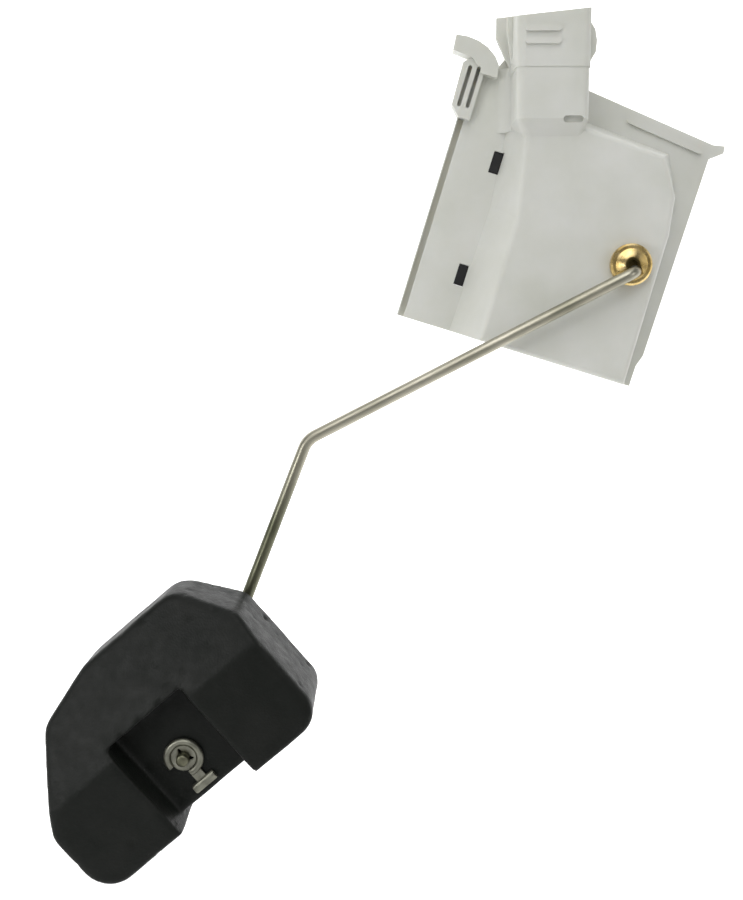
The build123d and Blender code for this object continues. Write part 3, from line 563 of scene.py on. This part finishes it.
# %% Housing, hub and inner pieces
for node, finish, width, name in (
    ("housing", acetal, 0.22, "moulded_housing"), ("rear_cover", black_acetal, 0.2, "snap_in_cover"),
    ("pivot_hub", brass, 0.08, "turned_hub"), ("pivot_bush", brass, 0.06, "pressed_bush"),
    ("signal_terminal", terminal_tin, 0.08, "signal_blade"),
    ("ground_terminal", terminal_tin, 0.08, "ground_blade"),
    ("terminal_rivets", terminal_tin, 0.08, "blade_rivets"), ("resistor_card", ceramic, 0.05, "printed_card"),
    ("wiper_carrier", black_acetal, 0.15, "carrier_moulding"), ("wiper_rivets", brass, 0.1, "carrier_rivets"),
    ("wiper_blade", contact_bronze, 0.04, "spring_blade"), ("float_washer", nylon, 0.1, "nylon_washer"),
    ("thrust_washer", nylon, 0.1, "thrust_ring"), ("hub_circlip", clip_steel, 0.06, "retaining_ring"),
):
    softened(node, finish, width * MM, name)

# %% [markdown]
# ### The bent wire
#
# The arm is one length of drawn steel wire with four straight runs and three bends. A tube is a circle
# carried along a path. The path is worked out first, run by run: at each corner the straight run stops
# short by the bend's radius times the tangent of half the turn, and an arc joins it to the next run. The
# bending tool flattens the wire a little, so the tube is slightly wider than it is thick in the bends.

# %% Wire path
WIRE_R = 1.2 * MM
HUB_BEND, ELBOW_BEND, FLOAT_BEND = 2.4 * MM, 5.0 * MM, 3.0 * MM
wire_low, wire_high = (Vector(corner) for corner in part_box("float_arm"))
ARM_DEPTH = -18.5 * MM                       # Y of the plane that holds the two long runs
RUN_TURN = (math.radians(207.2), math.radians(248.8))
OFFSET = 1.5 * MM
hub_hole = PIVOT + OFFSET * Vector((-math.sin(RUN_TURN[0]), 0, math.cos(RUN_TURN[0])))
first_run, second_run = (Vector((math.cos(turn), 0, math.sin(turn))) for turn in RUN_TURN)


def crossing(point_a, along_a, point_b, along_b):
    """Where two lines in the X-Z plane meet."""
    lines = np.array([[along_a.x, -along_b.x], [along_a.z, -along_b.z]])
    gap = np.array([point_b.x - point_a.x, point_b.z - point_a.z])
    return point_a + along_a * float(np.linalg.solve(lines, gap)[0])


elbow = crossing(hub_hole, first_run, FLOAT_PIN, second_run)
corners = [
    Vector((hub_hole.x, wire_high.y, hub_hole.z)), Vector((hub_hole.x, ARM_DEPTH, hub_hole.z)),
    Vector((elbow.x, ARM_DEPTH, elbow.z)), Vector((FLOAT_PIN.x, ARM_DEPTH, FLOAT_PIN.z)),
    Vector((FLOAT_PIN.x, wire_low.y, FLOAT_PIN.z)),
]
print("wire runs in mm:", [round((b - a).length / MM, 1) for a, b in zip(corners, corners[1:])])


# %% Wire tube
def bent_path(points, radii, arc_steps=14, run_step=1.5 * MM):
    """Points and directions along straight runs joined by arcs, and how far each point is into a bend.

    An arc's middle lies on the line that halves the corner; its points are a turning pair of unit
    vectors, from the first run's direction to the second's, times the radius."""
    places, ways, bend_shares = [], [], []
    start = np.array(points[0])
    for index in range(1, len(points)):
        corner = np.array(points[index])
        along = corner - start
        along /= np.linalg.norm(along)
        trim = 0.0
        if index < len(points) - 1:
            onward = np.array(points[index + 1]) - corner
            onward /= np.linalg.norm(onward)
            turn = math.acos(float(along @ onward))
            trim = radii[index - 1] * math.tan(turn / 2)
        end = corner - along * trim
        count = max(2, int(np.linalg.norm(end - start) / run_step))
        share = np.linspace(0.0, 1.0, count)[:, None]
        places.append(start + (end - start) * share)
        ways.append(np.repeat(along[None], count, 0))
        bend_shares.append(np.zeros(count))
        if trim:
            inward = onward - along * float(along @ onward)
            inward /= np.linalg.norm(inward)
            angle = np.linspace(0.0, turn, arc_steps)[1:-1, None]
            radius = radii[index - 1]
            places.append(end + radius * (along * np.sin(angle) + inward * (1 - np.cos(angle))))
            ways.append(along * np.cos(angle) + inward * np.sin(angle))
            bend_shares.append(np.sin(angle[:, 0] / turn * math.pi))
            start = corner + onward * trim
    return np.concatenate(places), np.concatenate(ways), np.concatenate(bend_shares)


def tube(name, places, ways, bend_shares, radius, flatten, chamfer, sides=40):
    """Circle carried along a path: each ring is centre + width cos(a) side + height sin(a) up.

    The first side vector is carried from ring to ring by taking out what points along the path, so the
    tube doesn't twist. In a bend the width grows by a share and the height shrinks by it. The first and
    the last ring are smaller by a chamfer. The attribute "straight" gives each point its place on the
    wire before bending: two coordinates across it, and the length along it."""
    near_start, near_end = places[:1] + ways[:1] * chamfer, places[-1:] - ways[-1:] * chamfer
    places = np.concatenate([places[:1], near_start, places[1:-1], near_end, places[-1:]])
    ways = np.concatenate([ways[:1], ways, ways[-1:]])
    shares = np.concatenate([[0.0], bend_shares, [0.0]])
    side = np.zeros_like(ways)
    side[0] = np.cross(ways[0], (0.36, 0.0, 0.93))
    for row in range(1, len(ways)):
        side[row] = side[row - 1] - ways[row] * (side[row - 1] @ ways[row])
    side /= np.linalg.norm(side, axis=1, keepdims=True)
    up = np.cross(ways, side)
    size = np.full(len(ways), radius)
    size[[0, -1]] -= chamfer
    width, height = size * (1 + flatten * shares), size * (1 - flatten * shares)
    angle = np.linspace(0.0, 2 * math.pi, sides, endpoint=False)
    across = width[:, None] * np.cos(angle)
    over = height[:, None] * np.sin(angle)
    points = places[:, None] + across[..., None] * side[:, None] + over[..., None] * up[:, None]
    piece = surface(name, points, close_v=True, cap_ends=True)
    length = np.concatenate([[0.0], np.cumsum(np.linalg.norm(np.diff(places, axis=0), axis=1))])
    straight = np.stack([across, over, np.repeat(length[:, None], sides, 1)], axis=2)
    attribute = piece.data.attributes.new("straight", "FLOAT_VECTOR", "POINT")
    attribute.data.foreach_set("vector", straight.ravel().astype(np.float32))
    return piece


places, ways, bend_shares = bent_path(corners, (HUB_BEND, ELBOW_BEND, FLOAT_BEND))
wire = outward(tube("bent_wire", places, ways, bend_shares, WIRE_R, flatten=0.03, chamfer=0.25 * MM))
print("wire length in mm:", round(float(np.linalg.norm(np.diff(places, axis=0), axis=1).sum()) / MM, 1))

# %% [markdown]
# ### The wire's finish
#
# Drawing leaves lines along the wire, so the pattern must turn with each bend. The attribute made with the
# tube holds the wire's own coordinates, as if it had never been bent, and the noise reads those. Old fuel
# leaves a yellow-brown film in patches. The run that hangs deepest in the tank is painted darker, as painted
# shade for the darker reflection it shows, so a plain and a painted-shade colour ramp are mixed by the
# length along the wire.

# %% Wire finish
# Painted shade on the wire: from the first length the colour turns darker, and it is fully dark at the second.
PAINTED_SHADE_START, PAINTED_SHADE_END = 78 * MM, 98 * MM    # along the wire, from the hub
drawn_wire = finish_material("drawn_wire", (0.33, 0.31, 0.24), 0.36, Metallic=1.0)
own_length = drawn_wire.node_tree.nodes.new("ShaderNodeAttribute")
own_length.attribute_name = "straight"
unbent = own_length.outputs["Vector"]
film = noise(drawn_wire, 5 * MM, 5.0, stretch=(1.0, 1.0, 3.0), source=unbent)
plain_steel = [(0.3, (0.30, 0.29, 0.22)), (0.55, (0.44, 0.42, 0.34)), (0.8, (0.56, 0.54, 0.45))]
# The second ramp is the same steel painted darker, as painted shade.
painted_shade_steel = [(0.3, (0.09, 0.095, 0.06)), (0.55, (0.16, 0.16, 0.11)), (0.8, (0.26, 0.255, 0.19))]
plain_tone, painted_shade_tone = (ramp(drawn_wire, film, stops) for stops in (plain_steel, painted_shade_steel))
own_axes = drawn_wire.node_tree.nodes.new("ShaderNodeSeparateXYZ")
drawn_wire.node_tree.links.new(unbent, own_axes.inputs[0])
# Painted shade: the plain ramp turns into the darker one along the wire's own length.
blend_colours(drawn_wire, plain_tone, painted_shade_tone, own_axes.outputs["Z"], PAINTED_SHADE_START, PAINTED_SHADE_END)
print("painted shade starts", round(PAINTED_SHADE_START / MM), "mm along the wire")
patches = noise(drawn_wire, 1.2 * MM, 4.0, stretch=(1.0, 1.0, 6.0), source=unbent)
draw_lines = noise(drawn_wire, 0.14 * MM, 2.0, stretch=(1.0, 1.0, 40.0), source=unbent)
vary_roughness(drawn_wire, patches, 0.28, 0.5)
raise_relief(drawn_wire, draw_lines, 0.01 * MM)
dress(wire, "float_arm", drawn_wire)
print("the wire rides on", BODY_OF["float_arm"])

# %% [markdown]
# ### The foam float
#
# The float is moulded foam: its edges are soft, its faces are a little wavy, and about a hundred small
# bubbles have opened at the skin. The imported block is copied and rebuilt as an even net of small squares,
# so that every part of it can move. Smoothing then rounds the edges, and two sums move the net along its
# normals: long waves, and small round pits.

# %% Foam float
NET = 0.5 * MM
WAVES, PITS = 9, 110
WIRE_ROOM = 1.36 * MM            # the bore stays clear of the wire


def applied(piece):
    """Replace a piece's mesh by what its modifiers make of it."""
    shaped = piece.evaluated_get(bpy.context.evaluated_depsgraph_get())
    mesh = bpy.data.meshes.new_from_object(shaped)
    piece.modifiers.clear()
    piece.data = mesh


def moulded_foam(node, name):
    """Even net of a block, smoothed, then moved along its normals by waves and pits.

    A wave is a sine of the place along one fixed direction. A pit is minus a depth times a bell curve of
    the distance from its middle; the middles are picked from the net's own points with a seeded draw.
    Points nearer to the wire than its room are pushed out to that distance."""
    piece = merged_copy(node, name)
    net = piece.modifiers.new("net", "REMESH")
    net.mode = "VOXEL"
    net.voxel_size = NET
    soften = piece.modifiers.new("soften", "SMOOTH")
    soften.factor = 0.5
    soften.iterations = 5
    applied(piece)
    mesh = piece.data
    count = len(mesh.vertices)
    spots, normals = np.empty(count * 3), np.empty(count * 3)
    mesh.vertices.foreach_get("co", spots)
    mesh.vertices.foreach_get("normal", normals)
    spots, normals = spots.reshape(-1, 3), normals.reshape(-1, 3)
    draw = np.random.default_rng(7)
    directions = draw.normal(size=(WAVES, 3))
    directions /= np.linalg.norm(directions, axis=1, keepdims=True)
    wave_lengths = np.linspace(6.0, 24.0, WAVES) * MM
    phases = draw.uniform(0.0, 2 * math.pi, WAVES)
    waves = np.sin(2 * math.pi * (spots @ directions.T) / wave_lengths + phases) @ (wave_lengths * 0.0018)
    middles = spots[draw.choice(count, PITS, replace=False)]
    sizes = draw.uniform(0.35, 0.75, PITS) * MM
    gaps = np.linalg.norm(spots[:, None] - middles[None], axis=2)
    pits = -(np.exp(-((gaps / sizes) ** 2)) @ (sizes * 0.35))
    spots = spots + normals * (waves + pits)[:, None]
    axis = np.array([FLOAT_PIN.x, FLOAT_PIN.z])
    outwards = spots[:, [0, 2]] - axis
    radius = np.linalg.norm(outwards, axis=1)
    near = radius < WIRE_ROOM
    push = (WIRE_ROOM / np.maximum(radius[near], 1e-6))[:, None]
    spots[np.ix_(near, [0, 2])] = axis + outwards[near] * push
    mesh.vertices.foreach_set("co", spots.ravel())
    mesh.polygons.foreach_set("use_smooth", np.ones(len(mesh.polygons), bool))
    mesh.update()
    return piece


float_block = moulded_foam("float", "foam_float")
dress(float_block, "float", foam)
print("float net:", len(float_block.data.polygons), "squares")

# %% [markdown]
# ### The clip on the wire's end
#
# A push-on clip holds the float: a dished spring ring whose three prongs bite the wire, an outer rim that
# is open at the bottom, and a tab to pull it off by. Rim and prongs are both bands: a closed outline
# carried round the axis, where the inner radius may change with the angle.

# %% Push-on clip
CLIP_TURN = math.radians(40.8)               # the tab points at a right angle to this direction
CLIP_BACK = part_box("float_clip")[1][1]       # Y of the clip's rear face


def band(name, inner, outer, thick, lift, start, end, centre, back, steps=96, corner=0.5):
    """Closed outline carried round an axis parallel to Y, from one angle to another.

    Round the outline by t, the radius is middle + half width times c and the depth is middle + half
    thickness times s, where c and s are the cosine and sine of t, each raised to a corner power with its
    sign kept; the lift raises the middle of the band like a dish. inner is a function of the angle."""
    angle = np.linspace(start, end, steps)[:, None]
    around = np.linspace(0.0, 2 * math.pi, 28, endpoint=False)[None]
    c = np.sign(np.cos(around)) * np.abs(np.cos(around)) ** corner
    s = np.sign(np.sin(around)) * np.abs(np.sin(around)) ** corner
    inside = inner(angle)
    radius = (inside + outer) / 2 + (outer - inside) / 2 * c
    depth = thick / 2 * (1 + s) + lift * (1 - c**2)
    depth = np.broadcast_to(depth, radius.shape)
    points = np.stack([
        centre.x + radius * np.cos(angle), back - depth, centre.z + radius * np.sin(angle),
    ], axis=2)
    whole = end - start > 2 * math.pi - 1e-6
    if whole:
        points = points[:-1]
    return surface(name, points, close_u=whole, close_v=True, cap_ends=not whole)


def bent_strip(name, outline, width, place, along, across):
    """Strip whose side view is a closed outline of (along, depth) points, carried over its width.

    The outline is repeated at five places over the width, drawn in by a seventh at both ends."""
    outline = np.array(outline)
    middle = outline.mean(axis=0)
    over = np.array([-0.5, -0.44, 0.0, 0.44, 0.5]) * width
    shrink = np.array([0.86, 1.0, 1.0, 1.0, 0.86])[:, None, None]
    flat = middle + (outline[None] - middle) * shrink
    forward = np.array([0.0, -1.0, 0.0])
    points = place + flat[..., :1] * along + over[:, None, None] * across + flat[..., 1:] * forward
    return surface(name, points, close_v=True, cap_ends=True)


def joined(name, parts):
    """One piece made of several closed parts."""
    work = bmesh.new()
    for part in parts:
        work.from_mesh(part.data)
    mesh = bpy.data.meshes.new(name)
    work.to_mesh(mesh)
    work.free()
    for part in parts:
        bpy.data.objects.remove(part)
    piece = bpy.data.objects.new(name, mesh)
    bpy.context.scene.collection.objects.link(piece)
    return piece


tab_way = np.array([math.sin(CLIP_TURN), 0.0, -math.cos(CLIP_TURN)])
tab_side = np.array([math.cos(CLIP_TURN), 0.0, math.sin(CLIP_TURN)])
pin = np.array([FLOAT_PIN.x, CLIP_BACK, FLOAT_PIN.z])
rim = band(
    "rim", inner=lambda angle: 2.45 * MM + 0 * angle, outer=3.95 * MM, thick=0.55 * MM, lift=0.45 * MM,
    start=math.radians(-62), end=math.radians(222), centre=FLOAT_PIN, back=CLIP_BACK,
)
prongs = band(
    "prongs", inner=lambda angle: (1.24 + 0.75 * np.clip(np.cos(3 * angle), 0, 1) ** 6) * MM,
    outer=2.7 * MM, thick=0.3 * MM, lift=0.05 * MM, start=0.0, end=2 * math.pi, centre=FLOAT_PIN,
    back=CLIP_BACK,
)
neck = bent_strip(
    "neck", [(2.6 * MM, 0.1 * MM), (5.4 * MM, 0.1 * MM), (5.4 * MM, 0.5 * MM), (2.6 * MM, 0.5 * MM)],
    2.2 * MM, pin, tab_way, tab_side,
)
tab = bent_strip(
    "tab", [
        (5.3 * MM, 0.05 * MM), (7.1 * MM, 0.05 * MM), (7.22 * MM, 0.3 * MM), (7.15 * MM, 0.8 * MM),
        (6.7 * MM, 1.05 * MM), (5.8 * MM, 1.05 * MM), (5.35 * MM, 0.7 * MM),
    ], 5.2 * MM, pin, tab_way, tab_side,
)
clip = joined("push_on_clip", [outward(part) for part in (rim, prongs, neck, tab)])
clip.data.set_sharp_from_angle(angle=math.radians(50))
dress(clip, "float_clip", clip_steel)
print("clip triangles:", sum(len(face.vertices) - 2 for face in clip.data.polygons))

# %% [markdown]
# ## Sizes, and the end
#
# The dressed model has to fill the same box as the imported one, so both boxes are printed.

# %% Print both boxes and finish
bpy.context.view_layer.update()
sizes = {"cad": [list(corner) for corner in cad_box], "visual": [list(corner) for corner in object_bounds()]}
for name, (lowest, highest) in sizes.items():
    print(name, "box in mm:", [round((b - a) / MM, 1) for a, b in zip(lowest, highest)])
